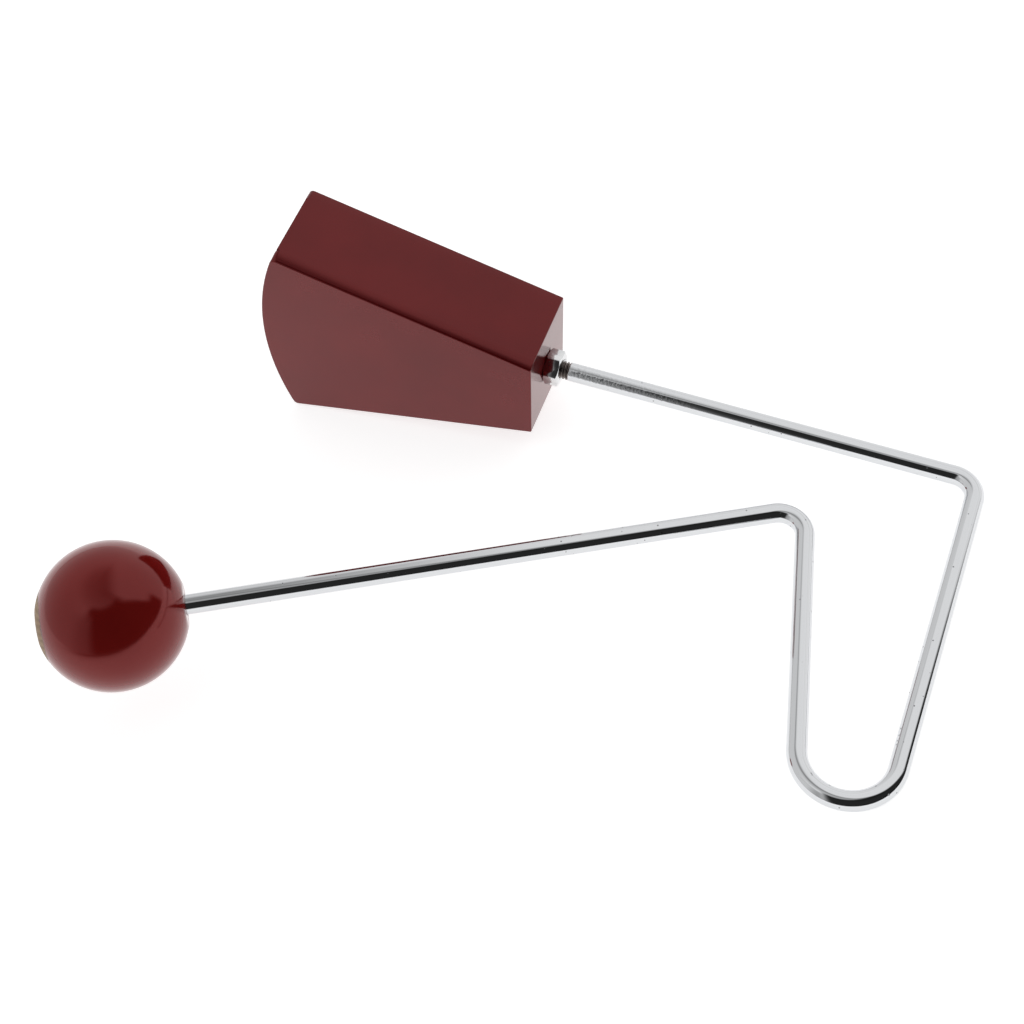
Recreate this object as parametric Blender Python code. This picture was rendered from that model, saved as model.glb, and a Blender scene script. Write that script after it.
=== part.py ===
"""Vibraslap: a flared wooden box and a wooden ball joined by one bent spring rod.

The box holds a folded steel jaw with a row of loose pins that rattle when the ball is struck.
Instrument frame: X runs along the box towards its narrow end and on along the rod, Y points away
from the handle, and Z is across the flare of the box, with the rod bent in the plane Z = 0.
The whole instrument is tipped about Y so that it lies on the handle and on the lower edge of the mouth.
"""

import math

import bmesh
import bpy
from mathutils import Vector

# Resonator box
BOX_LENGTH = 0.0835
NARROW_WIDTH = 0.0315
WIDE_WIDTH = 0.071
MOUTH_BULGE = 0.007
PANEL_THICKNESS = 0.004
END_BLOCK_LENGTH = 0.012
EDGE_EASE = 0.0005

# Spring rod, measured along its centre line
ROD_DIAMETER = 0.006
BOX_ARM = 0.137
HANDLE_LENGTH = 0.117
HANDLE_RADIUS = 0.014
HANDLE_SPLAY = math.radians(13.2)
CORNER_RADIUS = 0.0075
BALL_CORNER_OFFSET = 0.0266
ARM_SPREAD = math.radians(30)
BALL_ARM = 0.2055
THREAD_STEP = 0.0001
THREAD_SHOWN = 0.0022
THREAD_PAST_NUT = 0.0015
END_CHAMFER = 0.0006

# Ball
BALL_DIAMETER = 0.044
BALL_FLAT = 0.013
BALL_END_WALL = 0.008

# Nuts and washer
NUT_WIDTH = 0.010
NUT_HEIGHT = 0.005
NUT_CHAMFER = 0.0007
NUT_TURN = math.radians(30)
WASHER_DIAMETER = 0.0115
WASHER_THICKNESS = 0.0016

# Rattle jaw and its loose pins
SHEET = 0.001
JAW_BEND = 0.0015
JAW_SIDE_GAP = 0.0015
JAW_NUT_GAP = 0.0009
ROW_INSET = 0.0175
JAW_TIP = 0.004
PIN_DIAMETER = 0.0026
PIN_LOOSENESS = 0.0003
PIN_PLAY = 0.001
PIN_STOP_GAP = 0.0001
PIN_HEAD_DIAMETER = 0.0048
PIN_HEAD_HEIGHT = 0.0014
PIN_TAIL_DIAMETER = 0.0042
PIN_TAIL_CROWN = 0.0026
PIN_TAIL_RIM = 0.0008
PIN_HEAD_GAP = 0.0008
PIN_EDGE_METAL = 0.0012
PIN_WALL_GAP = 0.0003

# Gaps between pieces that touch, and between round pieces and their holes
SEAT_GAP = 0.0003
FIT_GAP = 0.0003

# How finely the round shapes are cut
MOUTH_STEPS = 20
CORNER_STEPS = 8
HANDLE_STEPS = 16
ROD_BEVEL = 6
BALL_ARC_STEPS = 14
BALL_STEPS = 40
ROUND_STEPS = 24
PIN_STEPS = 16
PIN_DOME_STEPS = 4
SHARP_ANGLE = math.radians(35)
MERGE = 0.000001

# Sizes that follow from those above
FLARE = math.atan2((WIDE_WIDTH - NARROW_WIDTH) / 2, BOX_LENGTH)
WALL_RISE = PANEL_THICKNESS / math.cos(FLARE)
THREAD_DIAMETER = ROD_DIAMETER - 2 * THREAD_STEP
THREAD_HOLE = THREAD_DIAMETER + 2 * FIT_GAP
NUT_CORNERS = NUT_WIDTH / math.cos(math.radians(30))
LEAF_GAP = max(NUT_CORNERS, WASHER_DIAMETER) + 2 * JAW_NUT_GAP
LEAF_OUTSIDE = LEAF_GAP / 2 + SHEET
PIN_HOLE = PIN_DIAMETER + 2 * PIN_LOOSENESS
PIN_PITCH = PIN_HEAD_DIAMETER + PIN_HEAD_GAP
PIN_SHANK_HALF = LEAF_OUTSIDE + PIN_PLAY + PIN_STOP_GAP
INNER_DEPTH = 2 * (PIN_SHANK_HALF + PIN_HEAD_HEIGHT + PIN_PLAY + PIN_WALL_GAP)
BOX_DEPTH = INNER_DEPTH + 2 * PANEL_THICKNESS
CORE_DEPTH = INNER_DEPTH - 2 * SEAT_GAP
WEB_OUTSIDE = -END_BLOCK_LENGTH - SEAT_GAP
WASHER_OUTSIDE = WEB_OUTSIDE - SHEET - SEAT_GAP
INNER_NUT_OUTSIDE = WASHER_OUTSIDE - WASHER_THICKNESS - SEAT_GAP
THREAD_END = INNER_NUT_OUTSIDE - NUT_HEIGHT - THREAD_PAST_NUT
THREAD_START = SEAT_GAP + NUT_HEIGHT + THREAD_SHOWN
PIN_ROW = -(BOX_LENGTH - ROW_INSET)
BALL_RADIUS = BALL_DIAMETER / 2
BALL_POLE = math.sqrt(BALL_RADIUS ** 2 - (BALL_FLAT / 2) ** 2)

# Centre-line corners of the rod
HANDLE_CORNER = Vector((BOX_ARM, 0))
HANDLE_CENTRE = Vector((BOX_ARM - HANDLE_RADIUS, HANDLE_RADIUS - HANDLE_LENGTH))
BACK_LEG = Vector((-math.sin(HANDLE_SPLAY), math.cos(HANDLE_SPLAY)))
BACK_LEG_START = HANDLE_CENTRE - HANDLE_RADIUS * Vector((math.cos(HANDLE_SPLAY), math.sin(HANDLE_SPLAY)))
BALL_CORNER = BACK_LEG_START + BACK_LEG * (-BALL_CORNER_OFFSET - BACK_LEG_START.y) / BACK_LEG.y
BALL_DIRECTION = Vector((-math.cos(ARM_SPREAD), -math.sin(ARM_SPREAD)))
BALL_CENTRE = BALL_CORNER + BALL_ARM * BALL_DIRECTION


def clear_scene():
    for item in list(bpy.data.objects):
        bpy.data.objects.remove(item, do_unlink=True)


def make_material(name, colour, roughness, metallic):
    material = bpy.data.materials.new(name)
    material.use_nodes = True
    shader = material.node_tree.nodes["Principled BSDF"]
    shader.inputs["Base Color"].default_value = (*colour, 1)
    shader.inputs["Roughness"].default_value = roughness
    shader.inputs["Metallic"].default_value = metallic
    return material


def make_empty(name, parent=None, location=(0, 0, 0)):
    empty = bpy.data.objects.new(name, None)
    bpy.context.collection.objects.link(empty)
    empty.parent = parent
    empty.location = location
    return empty


def place(name, data, material, parent, location=(0, 0, 0)):
    item = bpy.data.objects.new(name, data)
    bpy.context.collection.objects.link(item)
    item.parent = parent
    item.location = location
    if not data.materials:
        data.materials.append(material)
    return item


def finish_mesh(shape, name, smooth):
    bmesh.ops.recalc_face_normals(shape, faces=shape.faces)
    mesh = bpy.data.meshes.new(name)
    shape.to_mesh(mesh)
    shape.free()
    if smooth:
        mesh.shade_smooth()
        mesh.set_sharp_from_angle(angle=SHARP_ANGLE)
    return mesh


def prism(name, outline, depth):
    """Solid of a flat outline, a list of 3-D points, pushed along depth."""
    shape = bmesh.new()
    face = shape.faces.new([shape.verts.new(point) for point in outline])
    pushed = bmesh.ops.extrude_face_region(shape, geom=[face])["geom"]
    moved = [item for item in pushed if isinstance(item, bmesh.types.BMVert)]
    bmesh.ops.translate(shape, verts=moved, vec=depth)
    return finish_mesh(shape, name, smooth=False)


def turned(name, profile, steps):
    """Solid turned about X from a profile of (x, radius) points."""
    shape = bmesh.new()
    points = [shape.verts.new((x, radius, 0)) for x, radius in profile]
    lines = [shape.edges.new(pair) for pair in zip(points, points[1:])]
    bmesh.ops.spin(shape, geom=points + lines, cent=(0, 0, 0), axis=(1, 0, 0), angle=math.tau, steps=steps)
    bmesh.ops.remove_doubles(shape, verts=shape.verts, dist=MERGE)
    return finish_mesh(shape, name, smooth=True)


def ring_profile(start, end, inner_radius, outer_radius):
    return [
        (start, inner_radius),
        (start, outer_radius),
        (end, outer_radius),
        (end, inner_radius),
        (start, inner_radius),
    ]


def rod_profile(start, end, radius):
    return [(start, 0), (start, radius), (end, radius), (end, 0)]


def cut(item, cutter, operation="DIFFERENCE"):
    cutter.hide_render = True
    cutter.display_type = "WIRE"
    modifier = item.modifiers.new(cutter.name, "BOOLEAN")
    modifier.operation = operation
    modifier.object = cutter


def ease_edges(item):
    modifier = item.modifiers.new("eased_edges", "BEVEL")
    modifier.width = EDGE_EASE
    modifier.segments = 2
    modifier.limit_method = "ANGLE"
    modifier.angle_limit = SHARP_ANGLE


def half_width(x):
    """Half the outside width of the box at x."""
    return NARROW_WIDTH / 2 - x * math.tan(FLARE)


def flared_panel(name, outer_face, inner_face, material, frame):
    """Side of the box with a convex end at the mouth, between two planes across Y."""
    half = WIDE_WIDTH / 2
    radius = (half ** 2 + MOUTH_BULGE ** 2) / (2 * MOUTH_BULGE)
    centre = radius - MOUTH_BULGE - BOX_LENGTH
    spread = math.asin(half / radius)
    angles = [spread - 2 * spread * step / MOUTH_STEPS for step in range(MOUTH_STEPS + 1)]
    outline = [(centre - radius * math.cos(a), outer_face, radius * math.sin(a)) for a in angles]
    outline.append((0, outer_face, -NARROW_WIDTH / 2))
    outline.append((0, outer_face, NARROW_WIDTH / 2))
    panel = place(name, prism(name, outline, (0, inner_face - outer_face, 0)), material, frame)
    ease_edges(panel)


def slant_panel(name, side, material, frame):
    """Flat strip along one slant of the box, held between the two flared panels."""
    outline = [
        (0, -CORE_DEPTH / 2, side * half_width(0)),
        (-BOX_LENGTH, -CORE_DEPTH / 2, side * half_width(-BOX_LENGTH)),
        (-BOX_LENGTH, -CORE_DEPTH / 2, side * (half_width(-BOX_LENGTH) - WALL_RISE)),
        (0, -CORE_DEPTH / 2, side * (half_width(0) - WALL_RISE)),
    ]
    panel = place(name, prism(name, outline, (0, CORE_DEPTH, 0)), material, frame)
    ease_edges(panel)


def end_block(material, frame):
    """Block that fills the narrow end, drilled for the rod."""
    inner_end = -END_BLOCK_LENGTH
    lower = [(x, -CORE_DEPTH / 2, -(half_width(x) - WALL_RISE - SEAT_GAP)) for x in (inner_end, 0)]
    upper = [(x, y, -z) for x, y, z in reversed(lower)]
    block = place("end_block", prism("end_block", lower + upper, (0, CORE_DEPTH, 0)), material, frame)
    hole = rod_profile(inner_end - PANEL_THICKNESS, PANEL_THICKNESS, THREAD_HOLE / 2)
    cut(block, place("end_block_hole", turned("end_block_hole", hole, ROUND_STEPS), material, frame))


def arc(centre, radius, start, end, steps):
    angles = [start + (end - start) * step / steps for step in range(steps + 1)]
    return [centre + radius * Vector((math.cos(a), math.sin(a))) for a in angles]


def corner_arc(arriving, corner, leaving):
    """Points of the bend that joins two straight directions at a corner."""
    turn = arriving.angle_signed(leaving)
    back = CORNER_RADIUS * math.tan(abs(turn) / 2)
    side = math.copysign(1, turn)
    across = Vector((arriving.y, -arriving.x)) * side
    centre = corner - arriving * back + across * CORNER_RADIUS
    start = math.atan2(-across.y, -across.x)
    return arc(centre, CORNER_RADIUS, start, start - turn, CORNER_STEPS)


def rod_points():
    """Centre-line points of the rod with the radius at each, from the threaded end to the ball."""
    thread = THREAD_DIAMETER / 2
    full = ROD_DIAMETER / 2
    threaded = [
        (Vector((THREAD_END, 0)), thread - END_CHAMFER),
        (Vector((THREAD_END + END_CHAMFER, 0)), thread),
        (Vector((THREAD_START, 0)), thread),
        (Vector((THREAD_START + THREAD_STEP, 0)), full),
    ]
    bends = corner_arc(Vector((1, 0)), HANDLE_CORNER, Vector((0, -1)))
    bends += arc(HANDLE_CENTRE, HANDLE_RADIUS, 0, HANDLE_SPLAY - math.pi, HANDLE_STEPS)
    bends += corner_arc(BACK_LEG, BALL_CORNER, BALL_DIRECTION)
    bends.append(BALL_CENTRE + BALL_DIRECTION * (BALL_POLE - BALL_END_WALL - SEAT_GAP))
    return threaded + [(point, full) for point in bends]


def spring_rod(material, frame):
    points = rod_points()
    curve = bpy.data.curves.new("spring_rod", "CURVE")
    curve.dimensions = "3D"
    curve.twist_mode = "Z_UP"
    curve.bevel_depth = ROD_DIAMETER / 2
    curve.bevel_resolution = ROD_BEVEL
    curve.use_fill_caps = True
    spline = curve.splines.new("POLY")
    spline.points.add(len(points) - 1)
    for target, (point, radius) in zip(spline.points, points):
        target.co = (point.x, point.y, 0, 1)
        target.radius = radius / curve.bevel_depth
    place("spring_rod", curve, material, frame)


def ball(material, frame):
    """Turned ball with a flat at each pole and a blind hole for the rod, carried by the flexing arm."""
    flat = BALL_FLAT / 2
    hole = ROD_DIAMETER / 2 + FIT_GAP
    edge = math.asin(flat / BALL_RADIUS)
    sweep = math.pi - 2 * edge
    angles = [edge + sweep * step / BALL_ARC_STEPS for step in range(BALL_ARC_STEPS + 1)]
    profile = [(BALL_POLE, 0)]
    profile += [(BALL_RADIUS * math.cos(a), BALL_RADIUS * math.sin(a)) for a in angles]
    profile += [(-BALL_POLE, hole), (BALL_POLE - BALL_END_WALL, hole), (BALL_POLE - BALL_END_WALL, 0)]
    flex_axis = make_empty("rod_flex_axis", frame, (*HANDLE_CENTRE, 0))
    location = (*(BALL_CENTRE - HANDLE_CENTRE), 0)
    item = place("ball", turned("ball", profile, BALL_STEPS), material, flex_axis, location)
    item.rotation_euler.z = math.atan2(BALL_DIRECTION.y, BALL_DIRECTION.x)


def hex_nut(name, start, material, frame):
    """Hexagon nut on the rod from x = start, its corners cut back by a cone at both ends."""
    end = start + NUT_HEIGHT
    face = NUT_WIDTH / 2 - NUT_CHAMFER / 2
    corner = NUT_CORNERS / 2 + NUT_CHAMFER / 2
    hole = THREAD_HOLE / 2
    profile = [
        (start, hole),
        (start, face),
        (start + NUT_CHAMFER, corner),
        (end - NUT_CHAMFER, corner),
        (end, face),
        (end, hole),
        (start, hole),
    ]
    nut = place(name, turned(name, profile, ROUND_STEPS), material, frame)
    turns = [NUT_TURN + math.radians(60 * side) for side in range(6)]
    low = start - NUT_CHAMFER
    outline = [(low, NUT_CORNERS / 2 * math.cos(a), NUT_CORNERS / 2 * math.sin(a)) for a in turns]
    hexagon = prism(name + "_hexagon", outline, (NUT_HEIGHT + 2 * NUT_CHAMFER, 0, 0))
    cut(nut, place(name + "_hexagon", hexagon, material, frame), "INTERSECT")


def washer(material, frame):
    inside = WASHER_OUTSIDE - WASHER_THICKNESS
    profile = ring_profile(inside, WASHER_OUTSIDE, THREAD_HOLE / 2, WASHER_DIAMETER / 2)
    place("inner_washer", turned("inner_washer", profile, ROUND_STEPS), material, frame)


def jaw_half(x):
    """Half the width of the jaw at x, parallel to the slants of the box."""
    return half_width(x) - WALL_RISE - JAW_SIDE_GAP


def pin_heights():
    """Heights of the pins across the jaw, as many as the row has room for."""
    reach = jaw_half(PIN_ROW) - PIN_HOLE / 2 - PIN_EDGE_METAL
    last = int(2 * reach / PIN_PITCH)
    return [(index - last / 2) * PIN_PITCH for index in range(last + 1)]


def rattle_jaw(material, frame):
    """Sheet folded into two fan-shaped leaves and a web, with a row of holes near the leaf tips."""
    middle = LEAF_GAP / 2 + SHEET / 2
    bend = JAW_BEND + SHEET / 2
    web = WEB_OUTSIDE - SHEET / 2
    centre = Vector((web - bend, middle - bend))
    back = [Vector((PIN_ROW - JAW_TIP, middle))]
    back += arc(centre, bend, math.radians(90), 0, CORNER_STEPS // 2)
    front = [Vector((point.x, -point.y)) for point in reversed(back)]
    shape = bmesh.new()
    rows = []
    for point in back + front:
        half = jaw_half(point.x)
        rows.append([shape.verts.new((point.x, point.y, side * half)) for side in (-1, 1)])
    for first, second in zip(rows, rows[1:]):
        shape.faces.new((first[0], first[1], second[1], second[0]))
    jaw = place("rattle_jaw", finish_mesh(shape, "rattle_jaw", smooth=True), material, frame)
    thickness = jaw.modifiers.new("sheet", "SOLIDIFY")
    thickness.thickness = SHEET
    thickness.offset = 0
    thickness.use_even_offset = True
    hole = rod_profile(web - bend, WEB_OUTSIDE + SHEET, THREAD_HOLE / 2)
    cut(jaw, place("jaw_rod_hole", turned("jaw_rod_hole", hole, ROUND_STEPS), material, frame))
    reach = LEAF_OUTSIDE + SHEET
    pin_hole = turned("jaw_pin_hole", rod_profile(-reach, reach, PIN_HOLE / 2), PIN_STEPS)
    for number, height in enumerate(pin_heights(), 1):
        drill = place(f"jaw_pin_hole_{number}", pin_hole, material, frame, (PIN_ROW, 0, height))
        drill.rotation_euler.z = math.radians(90)
        cut(jaw, drill)


def rattle_pins(material, frame):
    """Loose pins along Y: a domed head behind, a straight shank, and a tail formed over at the front."""
    shank = PIN_DIAMETER / 2
    head = PIN_HEAD_DIAMETER / 2
    tail = PIN_TAIL_DIAMETER / 2
    crown = PIN_SHANK_HALF + PIN_HEAD_HEIGHT
    profile = [
        (-crown, 0),
        (-crown, PIN_TAIL_CROWN / 2),
        (-PIN_SHANK_HALF - PIN_TAIL_RIM, tail),
        (-PIN_SHANK_HALF, tail),
        (-PIN_SHANK_HALF, shank),
        (PIN_SHANK_HALF, shank),
    ]
    rises = [math.radians(90) * step / PIN_DOME_STEPS for step in range(PIN_DOME_STEPS)]
    profile += [(PIN_SHANK_HALF + PIN_HEAD_HEIGHT * math.sin(a), head * math.cos(a)) for a in rises]
    profile.append((crown, 0))
    mesh = turned("rattle_pin", profile, PIN_STEPS)
    for number, height in enumerate(pin_heights(), 1):
        pin = place(f"rattle_pin_{number}", mesh, material, frame, (PIN_ROW, 0, height))
        pin.rotation_euler.z = math.radians(90)


def lying_tilt():
    """Angle about Y that brings the handle and the lower edge of the mouth to one level."""
    run = BOX_ARM + BOX_LENGTH
    drop = WIDE_WIDTH / 2
    return math.atan2(drop, run) - math.asin(ROD_DIAMETER / 2 / math.hypot(run, drop))


def stand_on_origin(frame):
    """Moves the frame so that the middle of the whole object's underside is the origin."""
    bpy.context.view_layer.update()
    graph = bpy.context.evaluated_depsgraph_get()
    corners = []
    for item in bpy.data.objects:
        if item.type in {"MESH", "CURVE"} and not item.hide_render:
            solid = item.evaluated_get(graph)
            mesh = solid.to_mesh()
            corners += [solid.matrix_world @ vertex.co for vertex in mesh.vertices]
            solid.to_mesh_clear()
    for axis in range(2):
        values = [corner[axis] for corner in corners]
        frame.location[axis] -= (min(values) + max(values)) / 2
    frame.location.z -= min(corner.z for corner in corners)


def build():
    clear_scene()
    lacquer = make_material("red_lacquer", (0.135, 0.022, 0.022), 0.12, 0)
    ball_lacquer = make_material("ball_lacquer", (0.135, 0.018, 0.018), 0.08, 0)
    raw_wood = make_material("raw_wood", (0.48, 0.32, 0.17), 0.6, 0)
    chrome = make_material("chrome", (0.78, 0.79, 0.80), 0.06, 1)
    zinc = make_material("zinc_plate", (0.66, 0.67, 0.68), 0.25, 1)
    spring_steel = make_material("spring_steel", (0.42, 0.42, 0.43), 0.35, 1)
    bright_steel = make_material("bright_steel", (0.58, 0.58, 0.58), 0.25, 1)
    frame = make_empty("instrument_frame")
    frame.rotation_euler.y = lying_tilt()
    flared_panel("front_panel", -BOX_DEPTH / 2, -INNER_DEPTH / 2, lacquer, frame)
    flared_panel("back_panel", BOX_DEPTH / 2, INNER_DEPTH / 2, lacquer, frame)
    slant_panel("top_panel", 1, lacquer, frame)
    slant_panel("bottom_panel", -1, lacquer, frame)
    end_block(raw_wood, frame)
    spring_rod(chrome, frame)
    ball(ball_lacquer, frame)
    hex_nut("outer_nut", SEAT_GAP, zinc, frame)
    hex_nut("inner_nut", INNER_NUT_OUTSIDE - NUT_HEIGHT, zinc, frame)
    washer(zinc, frame)
    rattle_jaw(spring_steel, frame)
    rattle_pins(bright_steel, frame)
    stand_on_origin(frame)


build()
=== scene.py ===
import math

import bpy
from mathutils import Matrix, Vector


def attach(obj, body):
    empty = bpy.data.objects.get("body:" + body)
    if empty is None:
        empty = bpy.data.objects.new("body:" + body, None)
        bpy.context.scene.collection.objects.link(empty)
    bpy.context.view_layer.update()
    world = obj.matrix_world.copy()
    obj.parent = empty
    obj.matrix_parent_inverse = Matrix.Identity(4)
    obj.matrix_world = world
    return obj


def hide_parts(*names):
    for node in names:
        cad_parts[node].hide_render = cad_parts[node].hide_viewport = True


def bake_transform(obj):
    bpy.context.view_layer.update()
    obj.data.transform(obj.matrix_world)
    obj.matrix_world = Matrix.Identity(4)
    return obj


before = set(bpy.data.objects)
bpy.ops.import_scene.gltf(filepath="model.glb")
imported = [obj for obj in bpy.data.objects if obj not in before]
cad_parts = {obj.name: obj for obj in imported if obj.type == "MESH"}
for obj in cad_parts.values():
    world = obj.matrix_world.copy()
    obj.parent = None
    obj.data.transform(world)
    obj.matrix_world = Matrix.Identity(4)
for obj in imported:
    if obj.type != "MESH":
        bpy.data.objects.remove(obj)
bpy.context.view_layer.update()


# Narrow end: a wooden block glued between the four boards and drilled along its middle for the rod.
# It is lacquered outside with the rest of the box and left as bare wood inside.
BOX_LENGTH = 0.0835
NARROW_WIDTH = 0.0315
WIDE_WIDTH = 0.071
BOX_DEPTH = 0.030947
BOARD = 0.004
INNER_DEPTH = BOX_DEPTH - 2 * BOARD
FLARE = math.atan2((WIDE_WIDTH - NARROW_WIDTH) / 2, BOX_LENGTH)
BOARD_RISE = BOARD / math.cos(FLARE)
END_BLOCK = 0.012
ROD_HOLE_RADIUS = 0.0032
ROUND_STEPS = 48
SHARP_ANGLE = math.radians(40)
SMOOTH_ANGLE = math.radians(32)
TINY = 0.00001

# The instrument lies on its handle and on the lower edge of the mouth, so its own axes are tipped about Y.
LYING_PLACE = (-0.015104, 0.067936, 0.022925)
LYING_TILT = math.radians(8.37636)
LYING = Matrix.Translation(LYING_PLACE) @ Matrix.Rotation(LYING_TILT, 4, "Y")

# Most of a noise lies between these two values.
NOISE_LOW = 0.3
NOISE_HIGH = 0.7

BOX_REDS = ((0.126, 0.003, 0.004), (0.156, 0.005, 0.006))
BOX_ROUGHNESS = (0.19, 0.23)
BOX_PEEL = 0.03
STAIN_CLOUDS = 38
GLOSS_CLOUDS = 95
PEEL_GRAIN = 640
PEEL_HEIGHT = 0.0002
DUST_SPACING = 90
DUST_RIM = (0.02, 0.035)
DUST_STRENGTH = 0.25
DUST_HEIGHT = 0.0001

WOOD_PALE = (0.50, 0.33, 0.18)
WOOD_DARK = (0.36, 0.21, 0.10)
WOOD_ROUGHNESS = 0.62
WOOD_IOR = 1.4
FIBRE_STRETCH = (14, 260, 260)
FIBRE_BANDS = (0.32, 0.5, 0.72)
FIBRE_STRENGTH = 0.25
FIBRE_HEIGHT = 0.0003
MIST_RED = (0.10, 0.006, 0.008)
MIST_ROUGHNESS = 0.34
MIST_ENDS = (-0.080, -0.046)
MIST_GRAIN = 650
MIST_DRIFT = 0.011
STRAIGHT_IN = 0.99


def half_width(x):
    """Half the outside width of the box at x, measured from its narrow end."""
    return NARROW_WIDTH / 2 - x * math.tan(FLARE)


def draw_line(points):
    """Pulls one corner along the points, and leaves the new line in edit mode."""
    bpy.ops.object.select_all(action="DESELECT")
    bpy.ops.mesh.primitive_plane_add(size=TINY, location=points[0])
    bpy.ops.object.transform_apply(location=True, rotation=True, scale=True)
    bpy.ops.object.mode_set(mode="EDIT")
    bpy.ops.mesh.select_mode(type="VERT")
    bpy.ops.mesh.select_all(action="SELECT")
    bpy.ops.mesh.merge(type="CENTER")
    for here, there in zip(points, points[1:]):
        step = Vector(there) - Vector(here)
        bpy.ops.mesh.extrude_region_move(TRANSFORM_OT_translate={"value": step})
    return bpy.context.object


def draw_slab(points, depth):
    """Fills the outline through the points and pulls it out to a slab along depth."""
    slab = draw_line(points)
    bpy.ops.mesh.select_all(action="SELECT")
    bpy.ops.mesh.edge_face_add()
    bpy.ops.mesh.extrude_region_move(TRANSFORM_OT_translate={"value": depth})
    bpy.ops.mesh.select_all(action="SELECT")
    bpy.ops.mesh.normals_make_consistent(inside=False)
    return slab


def ease_arrises(item, wanted, width, segments=3):
    """Rounds over the sharp edges whose two ends pass the test."""
    bpy.ops.mesh.select_mode(type="EDGE")
    bpy.ops.mesh.select_all(action="DESELECT")
    bpy.ops.mesh.edges_select_sharp(sharpness=SHARP_ANGLE)
    bpy.ops.object.mode_set(mode="OBJECT")
    points = item.data.vertices
    chosen = [
        edge.index for edge in item.data.edges
        if edge.select and wanted(*(points[index].co for index in edge.vertices))
    ]
    bpy.ops.object.mode_set(mode="EDIT")
    bpy.ops.mesh.select_all(action="DESELECT")
    bpy.ops.object.mode_set(mode="OBJECT")
    for index in chosen:
        item.data.edges[index].select = True
    bpy.ops.object.mode_set(mode="EDIT")
    bpy.ops.mesh.bevel(offset=width, segments=segments, affect="EDGES")


def apply_modifier(item, kind, **settings):
    """Adds one modifier with its settings and applies it."""
    modifier = item.modifiers.new(kind.lower(), kind)
    for key, value in settings.items():
        setattr(modifier, key, value)
    bpy.ops.object.select_all(action="DESELECT")
    item.select_set(True)
    bpy.context.view_layer.objects.active = item
    bpy.ops.object.modifier_apply(modifier=modifier.name)


def cut_with(item, cutter, operation="DIFFERENCE"):
    """Cuts a piece with another one, which is then thrown away."""
    apply_modifier(item, "BOOLEAN", operation=operation, object=cutter, solver="EXACT")
    bpy.data.objects.remove(cutter)


def lay_down(item, name, *finishes):
    """Ends the modelling of a piece: it gets its finishes and its place, and sits at the origin."""
    bpy.ops.object.mode_set(mode="OBJECT")
    bpy.ops.object.select_all(action="DESELECT")
    item.select_set(True)
    bpy.context.view_layer.objects.active = item
    item.name = item.data.name = name
    kept = [face.material_index for face in item.data.polygons]
    item.data.materials.clear()
    for finish in finishes:
        item.data.materials.append(finish)
    for face, index in zip(item.data.polygons, kept):
        face.material_index = index
    item.matrix_world = LYING
    bpy.ops.object.transform_apply(location=True, rotation=True, scale=True)
    bpy.ops.object.shade_smooth_by_angle(angle=SMOOTH_ANGLE)
    return item


def add_node(tree, kind, **inputs):
    """New shader node. An input is a value for its socket or another node's output."""
    node = tree.nodes.new(kind)
    for name, value in inputs.items():
        socket = node.inputs[name.replace("_", " ")]
        if isinstance(value, bpy.types.NodeSocket):
            tree.links.new(value, socket)
        else:
            socket.default_value = value
    return node


def add_ramp(tree, factor, *stops):
    """Colour ramp through the stops, each a position and a colour."""
    ramp = add_node(tree, "ShaderNodeValToRGB", Fac=factor)
    elements = ramp.color_ramp.elements
    while len(elements) < len(stops):
        elements.new(0.5)
    for element, (position, colour) in zip(elements, stops):
        element.position = position
        element.color = (*colour, 1)
    return ramp.outputs["Color"]


def add_range(tree, value, low, high, to_low, to_high, interpolation="LINEAR"):
    """Value from low to high, brought to the range from to_low to to_high."""
    node = add_node(tree, "ShaderNodeMapRange", Value=value)
    node.interpolation_type = interpolation
    for name, number in zip(("From Min", "From Max", "To Min", "To Max"), (low, high, to_low, to_high)):
        node.inputs[name].default_value = number
    return node.outputs["Result"]


def calculate(tree, operation, *values):
    """One sum of a Math node, on numbers or other nodes' outputs."""
    node = add_node(tree, "ShaderNodeMath")
    node.operation = operation
    for socket, value in zip(node.inputs, values):
        if isinstance(value, bpy.types.NodeSocket):
            tree.links.new(value, socket)
        else:
            socket.default_value = value
    return node.outputs["Value"]


def add_noise(tree, vector, scale, detail, roughness=0.5):
    """Cloudy noise over the surface."""
    noise = add_node(tree, "ShaderNodeTexNoise", Vector=vector, Scale=scale, Detail=detail)
    noise.inputs["Roughness"].default_value = roughness
    return noise.outputs["Fac"]


def vary(tree, vector, scale, detail, low, high, roughness=0.5):
    """Value that drifts between low and high over the surface."""
    clouds = add_noise(tree, vector, scale, detail, roughness)
    return add_range(tree, clouds, NOISE_LOW, NOISE_HIGH, low, high)


def mix_colours(tree, share, under, over):
    """Colour that goes from under to over with the share. Sockets 6 and 7 are a Mix node's two colours."""
    mix = add_node(tree, "ShaderNodeMix", Factor=share)
    mix.data_type = "RGBA"
    tree.links.new(under, mix.inputs[6])
    mix.inputs[7].default_value = (*over, 1)
    return mix.outputs[2]


def add_bump(tree, height, strength, distance, normal=None):
    """Bump from a height, on top of an earlier bump where one is given."""
    node = add_node(tree, "ShaderNodeBump", Height=height, Strength=strength, Distance=distance)
    if normal is not None:
        tree.links.new(normal, node.inputs["Normal"])
    return node.outputs["Normal"]


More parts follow.
